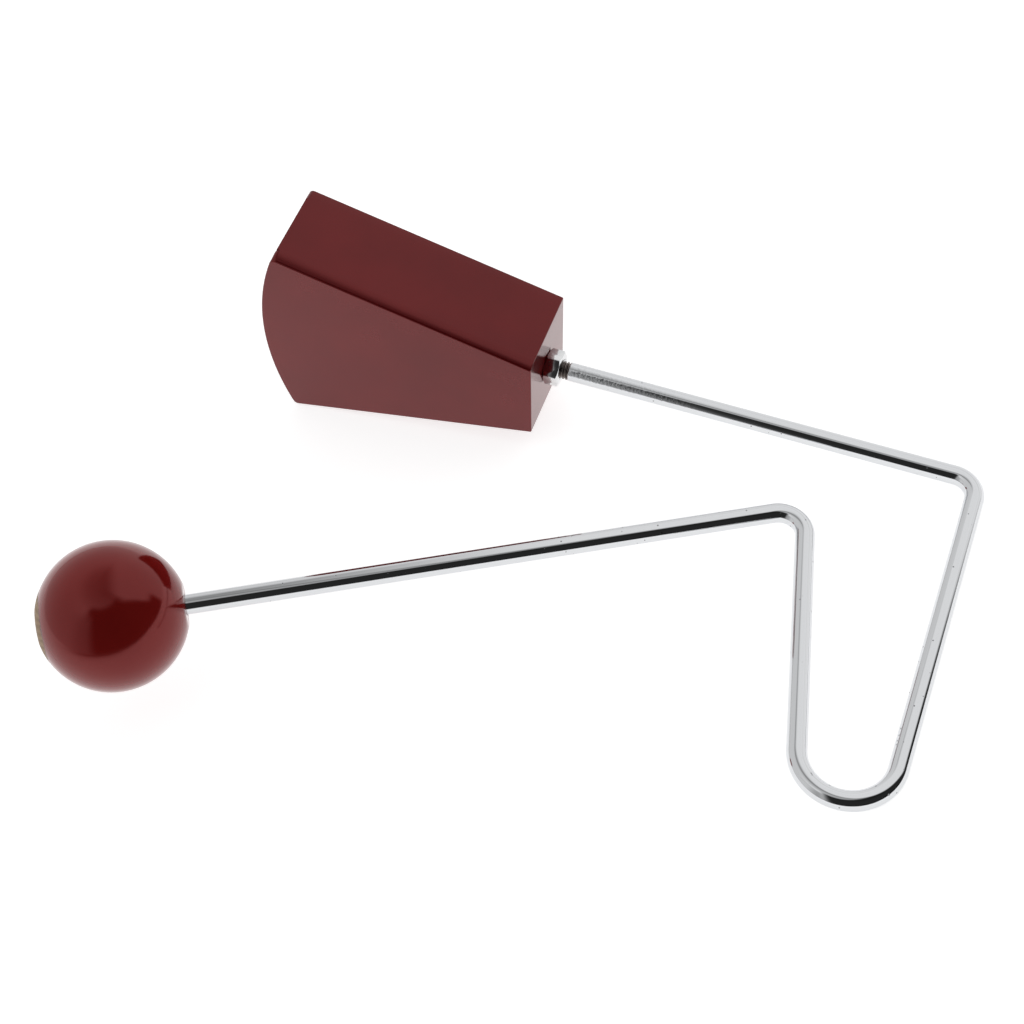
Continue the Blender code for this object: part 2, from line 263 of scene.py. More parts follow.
def start_finish(name, **constants):
    """Starts a material. Gives it with its tree, its shader and the place on the piece in its own axes."""
    material = bpy.data.materials.new(name)
    material.use_nodes = True
    tree = material.node_tree
    shader = tree.nodes["Principled BSDF"]
    for key, value in constants.items():
        shader.inputs[key.replace("_", " ")].default_value = value
    where = add_node(tree, "ShaderNodeTexCoord").outputs["Object"]
    turned = add_node(tree, "ShaderNodeMapping", Vector=where)
    turned.vector_type = "TEXTURE"
    turned.inputs["Location"].default_value = LYING.translation
    turned.inputs["Rotation"].default_value = LYING.to_euler()
    return material, tree, shader, turned.outputs["Vector"]


def lacquer_finish(name, reds, roughness, peel, **constants):
    """Gleaming red stain under clear lacquer, with clouds, uneven gloss, orange peel and dust specks."""
    material, tree, shader, place = start_finish(name, Coat_Weight=1.0, Specular_IOR_Level=0.0, **constants)
    clouds = add_noise(tree, place, STAIN_CLOUDS, 3)
    stain = add_ramp(tree, clouds, (NOISE_LOW, reds[0]), (NOISE_HIGH, reds[1]))
    tree.links.new(stain, shader.inputs["Base Color"])
    tree.links.new(vary(tree, place, GLOSS_CLOUDS, 4, *roughness), shader.inputs["Roughness"])
    shader.inputs["Coat Roughness"].default_value = sum(roughness) / 2
    flowed = add_bump(tree, add_noise(tree, place, PEEL_GRAIN, 2), peel, PEEL_HEIGHT)
    dust = add_node(tree, "ShaderNodeTexVoronoi", Vector=place, Scale=DUST_SPACING, Randomness=1)
    specks = add_range(tree, dust.outputs["Distance"], *DUST_RIM, 1, 0)
    dusty = add_bump(tree, specks, DUST_STRENGTH, DUST_HEIGHT, flowed)
    tree.links.new(dusty, shader.inputs["Normal"])
    tree.links.new(dusty, shader.inputs["Coat Normal"])
    return material


box_lacquer = lacquer_finish("box_lacquer", BOX_REDS, BOX_ROUGHNESS, BOX_PEEL, Metallic=0.5, Coat_IOR=1.34)


def bare_wood_finish(name):
    """Bare hardwood with its grain along the box, under a mist of red lacquer that fades from the mouth."""
    material, tree, shader, place = start_finish(name, IOR=WOOD_IOR)
    along = add_node(tree, "ShaderNodeMapping", Vector=place, Scale=FIBRE_STRETCH).outputs["Vector"]
    fibres = add_noise(tree, along, 1, 6, 0.62)
    grain = add_ramp(tree, fibres, *zip(FIBRE_BANDS, (WOOD_DARK, WOOD_PALE, WOOD_DARK)))
    depth = add_node(tree, "ShaderNodeSeparateXYZ", Vector=place).outputs["X"]
    drift = vary(tree, place, MIST_GRAIN, 5, -MIST_DRIFT, MIST_DRIFT, 0.6)
    sprayed = add_range(tree, calculate(tree, "ADD", depth, drift), *MIST_ENDS, 1, 0)
    tree.links.new(mix_colours(tree, sprayed, grain, MIST_RED), shader.inputs["Base Color"])
    roughness = add_range(tree, sprayed, 0, 1, WOOD_ROUGHNESS, MIST_ROUGHNESS)
    tree.links.new(roughness, shader.inputs["Roughness"])
    tree.links.new(add_bump(tree, fibres, FIBRE_STRENGTH, FIBRE_HEIGHT), shader.inputs["Normal"])
    return material


bare_wood = bare_wood_finish("bare_wood")


def bare_inside(item, outward, least):
    """Gives the second finish to the faces that look into the box. Least is the cosine that still counts."""
    inward = LYING.to_3x3() @ -Vector(outward)
    for face in item.data.polygons:
        face.material_index = int(face.normal.dot(inward) > least)


lower = [(x, -INNER_DEPTH / 2, -(half_width(x) - BOARD_RISE)) for x in (-END_BLOCK, 0)]
upper = [(x, y, -z) for x, y, z in reversed(lower)]
narrow_end = draw_slab(lower + upper, (0, INNER_DEPTH, 0))
bpy.ops.object.mode_set(mode="OBJECT")
bpy.ops.mesh.primitive_cylinder_add(
    vertices=ROUND_STEPS, radius=ROD_HOLE_RADIUS, depth=4 * END_BLOCK, rotation=(0, math.pi / 2, 0)
)
cut_with(narrow_end, bpy.context.object)
lay_down(narrow_end, "narrow_end", box_lacquer, bare_wood)
bare_inside(narrow_end, (1, 0, 0), STRAIGHT_IN)
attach(narrow_end, "instrument")
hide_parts("end_block")


# Front and back boards: two flared sides with a convex end at the mouth, cut from 4 mm board and glued on.
# The upper front edge is sanded well round after glueing, the other long edges only a little.
# They are lacquered outside and bare inside.
MOUTH_BULGE = 0.007
MOUTH_STEPS = 24
ARRIS = 0.0004
ROLL_DEPTHS = (0.0035, 0.0029, 0.0023, 0.0018, 0.0013, 0.0009, 0.0005, 0)
UPPER_ROLL = 0.00115
SLIGHT_ROLL = 0.0002
CORNER_ROUND = 0.0013

mouth_half = WIDE_WIDTH / 2
mouth_radius = (mouth_half ** 2 + MOUTH_BULGE ** 2) / (2 * MOUTH_BULGE)
mouth_centre = mouth_radius - MOUTH_BULGE - BOX_LENGTH
mouth_spread = math.asin(mouth_half / mouth_radius)


def roll_off(board, outer, side, rolls):
    """Sands the upper and lower edge: loops across the board come in more towards the outer face."""
    for depth in ROLL_DEPTHS[:-1]:
        bpy.ops.mesh.select_all(action="SELECT")
        bpy.ops.mesh.bisect(plane_co=(0, outer - side * depth, 0), plane_no=(0, 1, 0))
    for depth in ROLL_DEPTHS[1:]:
        for way, most in zip((1, -1), rolls):
            drop = most * (1 - depth / ROLL_DEPTHS[0]) ** 2 / math.cos(FLARE)
            bpy.ops.mesh.select_mode(type="VERT")
            bpy.ops.mesh.select_all(action="DESELECT")
            bpy.ops.object.mode_set(mode="OBJECT")
            for vertex in board.data.vertices:
                on_loop = abs(vertex.co.y - outer + side * depth) < TINY
                vertex.select = on_loop and abs(way * vertex.co.z - half_width(vertex.co.x)) < TINY
            bpy.ops.object.mode_set(mode="EDIT")
            bpy.ops.transform.translate(value=(0, 0, -way * drop))


def at_mouth_corner(first, second):
    """True for the edges through the board where a slant meets the mouth."""
    return abs(first.x + BOX_LENGTH) < TINY and abs(first.y - second.y) > TINY


def flared_board(name, node, side, upper_roll, lower_roll):
    """One flared side of the box, on the front (-1) or the back (1)."""
    outer = side * BOX_DEPTH / 2
    inner = side * INNER_DEPTH / 2
    angles = [mouth_spread * (1 - 2 * step / MOUTH_STEPS) for step in range(MOUTH_STEPS + 1)]
    outline = [
        (mouth_centre - mouth_radius * math.cos(a), inner, mouth_radius * math.sin(a)) for a in angles
    ]
    outline += [(0, inner, -NARROW_WIDTH / 2), (0, inner, NARROW_WIDTH / 2)]
    board = draw_slab(outline, (0, outer - inner, 0))
    roll_off(board, outer, side, (upper_roll, lower_roll))

    def shows(first, second):
        middle = (first + second) / 2
        at_mouth = middle.x < -BOX_LENGTH - TINY
        return at_mouth or abs(middle.y - inner) > TINY

    ease_arrises(board, at_mouth_corner, CORNER_ROUND, 4)
    ease_arrises(board, shows, ARRIS)
    lay_down(board, name, box_lacquer, bare_wood)
    apply_modifier(board, "WEIGHTED_NORMAL", keep_sharp=True)
    bare_inside(board, (0, side, 0), STRAIGHT_IN)
    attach(board, "instrument")
    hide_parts(node)


flared_board("front_board", "front_panel", -1, UPPER_ROLL, SLIGHT_ROLL)
flared_board("back_board", "back_panel", 1, SLIGHT_ROLL, SLIGHT_ROLL)


# Top and bottom boards: plain strips along the two slants, glued flush between the flared boards.
# They are lacquered together with the rest of the box, so no joint shows outside.
# Inside they are bare, with the first facet of the rounded edge at the mouth.
NEARLY_IN = 0.95


def slant_board(name, node, side):
    """One slanting strip of the box, on the top (1) or the bottom (-1)."""
    outline = [(x, -INNER_DEPTH / 2, side * (half_width(x) - rise)) for x, rise in (
        (0, 0), (-BOX_LENGTH, 0), (-BOX_LENGTH, BOARD_RISE), (0, BOARD_RISE)
    )]
    board = draw_slab(outline, (0, INNER_DEPTH, 0))

    def shows(first, second):
        outside = abs(side * first.z - half_width(first.x)) < TINY
        return abs(first.y - second.y) > TINY and (outside or first.x < -BOX_LENGTH + TINY)

    ease_arrises(board, shows, ARRIS)
    lay_down(board, name, box_lacquer, bare_wood)
    apply_modifier(board, "WEIGHTED_NORMAL", keep_sharp=True)
    bare_inside(board, (math.sin(FLARE), 0, side * math.cos(FLARE)), NEARLY_IN)
    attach(board, "instrument")
    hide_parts(node)


slant_board("top_board", "top_panel", 1)
slant_board("bottom_board", "bottom_panel", -1)


# Rattle jaw: one strip of spring steel, folded to a web and two fan-shaped leaves with holes near the tips.
# The web is clamped on the rod inside the narrow end, and the leaves stand free in the box.
SHEET = 0.001
LEAF_MIDDLE = 0.0071735
WEB_MIDDLE = -0.0128
FOLD_RADIUS = 0.002
FOLD_STEPS = 10
JAW_TIP = -0.070
JAW_SIDE_GAP = 0.0015
PIN_ROW = -0.066
PIN_PITCH = 0.0056
PIN_COUNT = 9
PIN_HOLE_RADIUS = 0.0016
SHEARED_EDGE = 0.00012
SHEARED_ANGLE = math.radians(50)
JAW_GREYS = ((0.34, 0.34, 0.35), (0.50, 0.50, 0.51))
JAW_ROUGHNESS = (0.28, 0.42)
JAW_STREAKS = (60, 900, 1500)
STEEL_CLOUDS = 220
STREAK_STRENGTH = 0.12
STREAK_HEIGHT = 0.0001


def rolled_steel_finish(name, tones, roughness, streaks):
    """Rolled or drawn steel: fine streaks along one way, with cloudy gloss."""
    material, tree, shader, place = start_finish(name, Metallic=1.0)
    along = add_node(tree, "ShaderNodeMapping", Vector=place, Scale=streaks).outputs["Vector"]
    lines = add_noise(tree, along, 1, 5, 0.6)
    greys = add_ramp(tree, lines, (NOISE_LOW, tones[0]), (NOISE_HIGH, tones[1]))
    tree.links.new(greys, shader.inputs["Base Color"])
    tree.links.new(vary(tree, place, STEEL_CLOUDS, 3, *roughness), shader.inputs["Roughness"])
    tree.links.new(add_bump(tree, lines, STREAK_STRENGTH, STREAK_HEIGHT), shader.inputs["Normal"])
    return material


jaw_steel = rolled_steel_finish("jaw_steel", JAW_GREYS, JAW_ROUGHNESS, JAW_STREAKS)


def fold(centre_x, centre_y, start, end):
    """Points of one fold of the sheet, seen along Z."""
    angles = [math.radians(start + (end - start) * step / FOLD_STEPS) for step in range(FOLD_STEPS + 1)]
    return [(centre_x + FOLD_RADIUS * math.cos(a), centre_y + FOLD_RADIUS * math.sin(a)) for a in angles]


fold_x = WEB_MIDDLE - FOLD_RADIUS
fold_y = LEAF_MIDDLE - FOLD_RADIUS
sheet_line = [
    (JAW_TIP, LEAF_MIDDLE),
    *fold(fold_x, fold_y, 90, 0),
    *fold(fold_x, -fold_y, 0, -90),
    (JAW_TIP, -LEAF_MIDDLE),
]
jaw_sheet = draw_line([(x, y, -mouth_half) for x, y in sheet_line])
bpy.ops.mesh.select_all(action="SELECT")
bpy.ops.mesh.extrude_region_move(TRANSFORM_OT_translate={"value": (0, 0, 2 * mouth_half)})
for side in (1, -1):
    bpy.ops.mesh.select_all(action="SELECT")
    bpy.ops.mesh.bisect(
        plane_co=(0, 0, side * (half_width(0) - BOARD_RISE - JAW_SIDE_GAP)),
        plane_no=(math.sin(FLARE), 0, side * math.cos(FLARE)),
        clear_outer=True,
    )
bpy.ops.mesh.select_all(action="SELECT")
bpy.ops.mesh.normals_make_consistent(inside=False)
bpy.ops.object.mode_set(mode="OBJECT")
apply_modifier(jaw_sheet, "SOLIDIFY", thickness=SHEET, offset=0, use_even_offset=True)
pin_heights = [(number - (PIN_COUNT - 1) / 2) * PIN_PITCH for number in range(PIN_COUNT)]
for height in pin_heights:
    bpy.ops.mesh.primitive_cylinder_add(
        vertices=ROUND_STEPS, radius=PIN_HOLE_RADIUS, depth=4 * LEAF_MIDDLE,
        location=(PIN_ROW, 0, height), rotation=(math.pi / 2, 0, 0),
    )
    cut_with(jaw_sheet, bpy.context.object)
bpy.ops.mesh.primitive_cylinder_add(
    vertices=ROUND_STEPS, radius=ROD_HOLE_RADIUS, depth=4 * SHEET,
    location=(WEB_MIDDLE, 0, 0), rotation=(0, math.pi / 2, 0),
)
cut_with(jaw_sheet, bpy.context.object)
apply_modifier(
    jaw_sheet, "BEVEL", width=SHEARED_EDGE, segments=2, limit_method="ANGLE", angle_limit=SHEARED_ANGLE
)
lay_down(jaw_sheet, "jaw_sheet", jaw_steel)
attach(jaw_sheet, "instrument")
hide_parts("rattle_jaw")


# Rattle pins: nine cold-headed steel pins that hang loose through both leaves of the jaw.
# Each has a domed head behind and a tail that was hammered over in front, so it can slide but not fall out.
PIN_RADIUS = 0.0013
PIN_HALF = 0.008774
PIN_HEAD_RADIUS = 0.0024
PIN_CAP = 0.0014
PIN_TAIL_RADIUS = 0.0021
PIN_TAIL_CROWN = 0.0013
PIN_TAIL_RIM = 0.0008
PIN_FILLET = 0.00015
PIN_STEPS = 32
DOME_STEPS = 9
PIN_GREYS = ((0.50, 0.50, 0.50), (0.66, 0.66, 0.67))
PIN_ROUGHNESS = (0.16, 0.3)
PIN_STREAKS = (900, 80, 900)

pin_steel = rolled_steel_finish("pin_steel", PIN_GREYS, PIN_ROUGHNESS, PIN_STREAKS)


def turn(profile, steps, axis):
    """Turned piece: a profile from pole to pole, or a closed one, swept round an axis through the origin."""
    item = draw_line(profile)
    bpy.ops.mesh.select_all(action="SELECT")
    bpy.ops.mesh.spin(steps=steps, angle=math.tau, center=(0, 0, 0), axis=axis)
    bpy.ops.mesh.select_all(action="SELECT")
    bpy.ops.mesh.remove_doubles(threshold=TINY / 2)
    bpy.ops.mesh.normals_make_consistent(inside=False)
    return item


crown = PIN_HALF + PIN_CAP
tail_rise = crown - PIN_HALF - PIN_TAIL_RIM
tail_turns = [math.radians(90 * step / DOME_STEPS) for step in range(1, DOME_STEPS + 1)]
dome_turns = [math.radians(90 * step / DOME_STEPS) for step in range(DOME_STEPS)]
pin_profile = [(-crown, 0), (-crown, PIN_TAIL_CROWN)]
tail_spread = PIN_TAIL_RADIUS - PIN_TAIL_CROWN
pin_profile += [
    (-crown + tail_rise * (1 - math.cos(a)), PIN_TAIL_CROWN + tail_spread * math.sin(a)) for a in tail_turns
]
pin_profile += [
    (-PIN_HALF, PIN_TAIL_RADIUS),
    (-PIN_HALF, PIN_RADIUS + PIN_FILLET),
    (-PIN_HALF + PIN_FILLET, PIN_RADIUS),
    (PIN_HALF - PIN_FILLET, PIN_RADIUS),
    (PIN_HALF, PIN_RADIUS + PIN_FILLET),
]
pin_profile += [(PIN_HALF + PIN_CAP * math.sin(a), PIN_HEAD_RADIUS * math.cos(a)) for a in dome_turns]
pin_profile.append((crown, 0))

for number, height in enumerate(pin_heights, 1):
    pin = turn([(0, along, radius) for along, radius in pin_profile], PIN_STEPS, (0, 1, 0))
    bpy.ops.transform.translate(value=(PIN_ROW, 0, height))
    lay_down(pin, f"loose_pin_{number}", pin_steel)
    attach(pin, f"pin_{number}")
    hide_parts(f"rattle_pin_{number}")


# Spring rod: one 6 mm steel rod, bent cold at two tight corners and round the handle, then chromed.
# Its box end is threaded and passes through the narrow end. The part from the handle on bends with the ball.
ROD_RADIUS = 0.003
ROD_STEPS = 48
BOX_ARM = 0.137
CORNER_RADIUS = 0.0075
CORNER_STEPS = 20
HANDLE_LENGTH = 0.117
HANDLE_RADIUS = 0.014
HANDLE_SPLAY = math.radians(13.2)
HANDLE_STEPS = 56
BALL_CORNER_OFFSET = 0.0266
ARM_SPREAD = math.radians(30)
BALL_ARM = 0.2055
BALL_RADIUS = 0.022
BALL_FLAT = 0.0065
BALL_POLE = math.sqrt(BALL_RADIUS ** 2 - BALL_FLAT ** 2)
ROD_SHORT_OF_POLE = 0.0083
SHOULDER = 0.00025
THREAD_START = 0.0075
THREAD_END = -0.022
THREAD_PITCH = 0.001
THREAD_RADIUS = 0.0029
THREAD_CORE = 0.00236
THREAD_SHARES = (0, 1 / 4, 9 / 16, 11 / 16, 1)
THREAD_CHAMFER = 0.0006
ROD_JOIN = 0.004
RING = 0.0004
CHROME_GREY = (0.69, 0.70, 0.715)
CHROME_ROUGHNESS = (0.05, 0.085)
CHROME_CLOUDS = 130
PIT_GREY = (0.22, 0.22, 0.23)
PIT_SPACING = 520
PIT_RIM = (0.09, 0.15)
PIT_GROUPS = 45
PIT_GROUP_ENDS = (0.5, 0.7)
PIT_GROUP_CHANCE = 0.3
PIT_CHANCE = (0.78, 0.8)
PIT_STRENGTH = 0.3
PIT_HEIGHT = 0.0001
POLISH_WAVES = 180
POLISH_STRENGTH = 0.035
POLISH_HEIGHT = 0.0002
VICE_ALONG = (0.012, 0.055)
VICE_ACROSS = (-0.02, -0.01)
VICE_ROUGHNESS = 0.06
VICE_GRAIN = 1300
VICE_STRENGTH = 0.3
VICE_HEIGHT = 0.0002
THREAD_BROWNS = ((0.11, 0.088, 0.08), (0.25, 0.215, 0.20))
THREAD_ROUGHNESS = (0.25, 0.4)
THREAD_CLOUDS = (700, 700, 700)


def chrome_finish(name):
    """Bright chrome plate: faint clouds in the gloss, a few pits, and vice marks beside the thread."""
    material, tree, shader, place = start_finish(name, Metallic=1.0)
    spot = add_node(tree, "ShaderNodeSeparateXYZ", Vector=place).outputs
    by_thread = add_range(tree, spot["X"], *VICE_ALONG, 1, 0)
    gripped = calculate(tree, "MULTIPLY", by_thread, add_range(tree, spot["Y"], *VICE_ACROSS, 0, 1))
    clouds = vary(tree, place, CHROME_CLOUDS, 3, *CHROME_ROUGHNESS)
    roughness = calculate(tree, "MULTIPLY_ADD", gripped, VICE_ROUGHNESS, clouds)
    tree.links.new(roughness, shader.inputs["Roughness"])
    cells = add_node(tree, "ShaderNodeTexVoronoi", Vector=place, Scale=PIT_SPACING, Randomness=1)
    near = add_range(tree, cells.outputs["Distance"], *PIT_RIM, 1, 0)
    chance = add_node(tree, "ShaderNodeSeparateColor", Color=cells.outputs["Color"]).outputs["Red"]
    groups = add_range(tree, add_noise(tree, place, PIT_GROUPS, 1), *PIT_GROUP_ENDS, 0, PIT_GROUP_CHANCE)
    few = add_range(tree, calculate(tree, "ADD", chance, groups), *PIT_CHANCE, 0, 1)
    pitted = calculate(tree, "MULTIPLY", near, few)
    plate = add_ramp(tree, pitted, (0, CHROME_GREY), (1, PIT_GREY))
    tree.links.new(plate, shader.inputs["Base Color"])
    polished = add_bump(tree, add_noise(tree, place, POLISH_WAVES, 1), POLISH_STRENGTH, POLISH_HEIGHT)
    grip = calculate(tree, "MULTIPLY", gripped, VICE_STRENGTH)
    marked = add_bump(tree, add_noise(tree, place, VICE_GRAIN, 3), grip, VICE_HEIGHT, polished)
    depth = add_range(tree, pitted, 0, 1, 1, 0)
    tree.links.new(add_bump(tree, depth, PIT_STRENGTH, PIT_HEIGHT, marked), shader.inputs["Normal"])
    return material


rod_chrome = chrome_finish("rod_chrome")
thread_steel = rolled_steel_finish("thread_steel", THREAD_BROWNS, THREAD_ROUGHNESS, THREAD_CLOUDS)


def start_rod(x, y, direction):
    """Circle across the rod, left in edit mode."""
    bpy.ops.object.select_all(action="DESELECT")
    bpy.ops.mesh.primitive_circle_add(
        vertices=ROD_STEPS, radius=ROD_RADIUS, location=(x, y, 0), rotation=(0, math.pi / 2, direction)
    )
    bpy.ops.object.transform_apply(location=True, rotation=True, scale=True)
    bpy.ops.object.mode_set(mode="EDIT")
    bpy.ops.mesh.edge_face_add()
    return bpy.context.object


def run_straight(step):
    """Runs the rod straight on, with a ring close to each end that keeps its sides straight there."""
    short = Vector((*step, 0)).normalized() * RING
    for part in (short, Vector((*step, 0)) - 2 * short, short):
        bpy.ops.mesh.extrude_region_move(TRANSFORM_OT_translate={"value": part})


def bend(centre, angle, steps):
    """Bends the rod's free end round a centre, clockwise seen from above where the angle is positive."""
    bpy.ops.mesh.spin(steps=steps, angle=angle, center=(*centre, 0), axis=(0, 0, 1))


def close_rod():
    """Joins the rod's rings and turns its faces outwards."""
    bpy.ops.mesh.select_all(action="SELECT")
    bpy.ops.mesh.remove_doubles(threshold=TINY / 2)
    bpy.ops.mesh.normals_make_consistent(inside=False)


handle_centre = Vector((BOX_ARM - HANDLE_RADIUS, HANDLE_RADIUS - HANDLE_LENGTH))
rod_box_side = start_rod(THREAD_START, 0, 0)
run_straight((BOX_ARM - CORNER_RADIUS - THREAD_START, 0))
bend((BOX_ARM - CORNER_RADIUS, -CORNER_RADIUS), math.pi / 2, CORNER_STEPS)
run_straight((0, handle_centre.y + CORNER_RADIUS + ROD_JOIN))
close_rod()
ease_arrises(rod_box_side, lambda first, second: max(first.x, second.x) < THREAD_START + TINY, SHOULDER)
bpy.ops.object.mode_set(mode="OBJECT")

turns = math.ceil((THREAD_START - THREAD_END) / THREAD_PITCH) + 2
one_turn = list(zip(THREAD_SHARES, (THREAD_CORE, THREAD_CORE, THREAD_RADIUS, THREAD_RADIUS, THREAD_CORE)))
first_turn = THREAD_END - THREAD_PITCH
thread = draw_line([(first_turn + share * THREAD_PITCH, 0, radius) for share, radius in one_turn])
bpy.ops.object.mode_set(mode="OBJECT")
apply_modifier(
    thread, "SCREW", axis="X", angle=math.tau, screw_offset=THREAD_PITCH, iterations=turns,
    steps=ROD_STEPS, render_steps=ROD_STEPS, use_merge_vertices=True, merge_threshold=TINY / 2,
)
bpy.ops.object.mode_set(mode="EDIT")
for x, way in ((THREAD_END, -1), (THREAD_START + SHOULDER, 1)):
    bpy.ops.mesh.select_all(action="SELECT")
    bpy.ops.mesh.bisect(plane_co=(x, 0, 0), plane_no=(way, 0, 0), clear_outer=True, use_fill=True)
bpy.ops.mesh.select_all(action="SELECT")
bpy.ops.mesh.normals_make_consistent(inside=False)
bpy.ops.object.mode_set(mode="OBJECT")
length = THREAD_START + 2 * SHOULDER - THREAD_END
bpy.ops.mesh.primitive_cylinder_add(
    vertices=2 * ROD_STEPS, radius=ROD_RADIUS, depth=length,
    location=(THREAD_END + length / 2, 0, 0), rotation=(0, math.pi / 2, 0),
)
pointed = bpy.context.object
bpy.ops.object.transform_apply(location=True, rotation=True, scale=True)
bpy.ops.object.mode_set(mode="EDIT")
ease_arrises(pointed, lambda first, second: max(first.x, second.x) < THREAD_END + TINY, THREAD_CHAMFER, 1)
bpy.ops.object.mode_set(mode="OBJECT")
cut_with(thread, pointed, "INTERSECT")
rod_box_side.data.materials.append(rod_chrome)
thread.data.materials.clear()
thread.data.materials.append(thread_steel)
bpy.ops.object.select_all(action="DESELECT")
thread.select_set(True)
rod_box_side.select_set(True)
bpy.context.view_layer.objects.active = rod_box_side
bpy.ops.object.join()
lay_down(rod_box_side, "rod_box_side", rod_chrome, thread_steel)
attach(rod_box_side, "instrument")
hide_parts("spring_rod")

back_leg = Vector((-math.sin(HANDLE_SPLAY), math.cos(HANDLE_SPLAY)))
back_leg_start = handle_centre - HANDLE_RADIUS * Vector((math.cos(HANDLE_SPLAY), math.sin(HANDLE_SPLAY)))
ball_corner = back_leg_start + back_leg * (-BALL_CORNER_OFFSET - back_leg_start.y) / back_leg.y
ball_way = Vector((-math.cos(ARM_SPREAD), -math.sin(ARM_SPREAD)))
ball_centre = ball_corner + BALL_ARM * ball_way
corner_turn = back_leg.angle(ball_way)
corner_back = CORNER_RADIUS * math.tan(corner_turn / 2)
corner_start = ball_corner - back_leg * corner_back
corner_centre = corner_start + CORNER_RADIUS * Vector((-back_leg.y, back_leg.x))
rod_end = ball_centre + ball_way * (BALL_POLE - ROD_SHORT_OF_POLE)

rod_ball_side = start_rod(BOX_ARM, handle_centre.y + ROD_JOIN, math.pi / 2)
run_straight((0, -ROD_JOIN))
bend(handle_centre, math.pi - HANDLE_SPLAY, HANDLE_STEPS)
run_straight(corner_start - back_leg_start)
bend(corner_centre, -corner_turn, CORNER_STEPS)
run_straight(rod_end - (ball_corner + ball_way * corner_back))
close_rod()
lay_down(rod_ball_side, "rod_ball_side", rod_chrome)
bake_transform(rod_ball_side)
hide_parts("spring_rod")


# Nuts and washer: bright zinc-plated M6 hardware on the threaded end of the rod.
# One nut holds the rod outside the narrow end. A washer and a second nut clamp the jaw's web inside.
NUT_WIDTH = 0.010
NUT_HEIGHT = 0.005
NUT_CHAMFER = 0.0007
NUT_TURN = math.radians(15)
NUT_BORE = 0.00295
BORE_CHAMFER = 0.0004
OUTER_NUT = 0.0
INNER_NUT = -0.0205
WASHER_RADIUS = 0.00575
WASHER_BORE = 0.0032
WASHER_THICKNESS = 0.0016
WASHER_FROM = -0.0152
WASHER_EDGE = 0.0002
NUT_FINE_EDGE = 0.0001
NUT_FINE_ANGLE = math.radians(20)
ZINC_GREYS = ((0.66, 0.67, 0.68), (0.78, 0.78, 0.78))
ZINC_ROUGHNESS = (0.10, 0.18)
ZINC_CLOUDS = (500, 500, 500)

zinc_plate = rolled_steel_finish("zinc_plate", ZINC_GREYS, ZINC_ROUGHNESS, ZINC_CLOUDS)


def hex_nut(name, node, start):
    """Slice of hexagon bar: its corners are cut back by a cone at both ends, and its bore is countersunk."""
    corners = NUT_WIDTH / math.cos(math.radians(30))
    middle = start + NUT_HEIGHT / 2
    bpy.ops.object.select_all(action="DESELECT")
    bpy.ops.mesh.primitive_cylinder_add(
        vertices=6, radius=corners / 2, depth=NUT_HEIGHT, location=(middle, 0, 0),
        rotation=(0, math.pi / 2, 0),
    )
    nut = bpy.context.object
    bpy.ops.object.transform_apply(location=True, rotation=True, scale=True)
    bpy.ops.object.mode_set(mode="EDIT")
    bpy.ops.mesh.select_all(action="SELECT")
    bpy.ops.transform.rotate(value=NUT_TURN, orient_axis="X", center_override=(0, 0, 0))
    bpy.ops.object.mode_set(mode="OBJECT")
    face = NUT_WIDTH / 2 - NUT_CHAMFER / 2
    widest = corners / 2 + NUT_CHAMFER / 2
    end = start + NUT_HEIGHT
    rounds = [
        (start, 0), (start, face), (start + NUT_CHAMFER, widest),
        (end - NUT_CHAMFER, widest), (end, face), (end, 0),
    ]
    cone = turn([(x, 0, radius) for x, radius in rounds], 2 * ROUND_STEPS, (1, 0, 0))
    bpy.ops.object.mode_set(mode="OBJECT")
    cut_with(nut, cone, "INTERSECT")
    wide = NUT_BORE + BORE_CHAMFER
    drill = [
        (start - TINY, 0), (start - TINY, wide), (start + BORE_CHAMFER, NUT_BORE),
        (end - BORE_CHAMFER, NUT_BORE), (end + TINY, wide), (end + TINY, 0),
    ]
    bore = turn([(x, 0, radius) for x, radius in drill], ROUND_STEPS, (1, 0, 0))
    bpy.ops.object.mode_set(mode="OBJECT")
    cut_with(nut, bore)
    apply_modifier(
        nut, "BEVEL", width=NUT_FINE_EDGE, segments=2, limit_method="ANGLE", angle_limit=NUT_FINE_ANGLE
    )
    lay_down(nut, name, zinc_plate)
    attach(nut, "instrument")
    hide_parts(node)


hex_nut("nut_outside", "outer_nut", OUTER_NUT)
hex_nut("nut_inside", "inner_nut", INNER_NUT)

washer_to = WASHER_FROM + WASHER_THICKNESS
ring = [
    (WASHER_FROM, WASHER_BORE), (WASHER_FROM, WASHER_RADIUS),
    (washer_to, WASHER_RADIUS), (washer_to, WASHER_BORE), (WASHER_FROM, WASHER_BORE),
]
washer = turn([(x, 0, radius) for x, radius in ring], ROUND_STEPS, (1, 0, 0))
ease_arrises(washer, lambda first, second: True, WASHER_EDGE, 2)
lay_down(washer, "washer_inside", zinc_plate)
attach(washer, "instrument")
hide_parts("inner_washer")


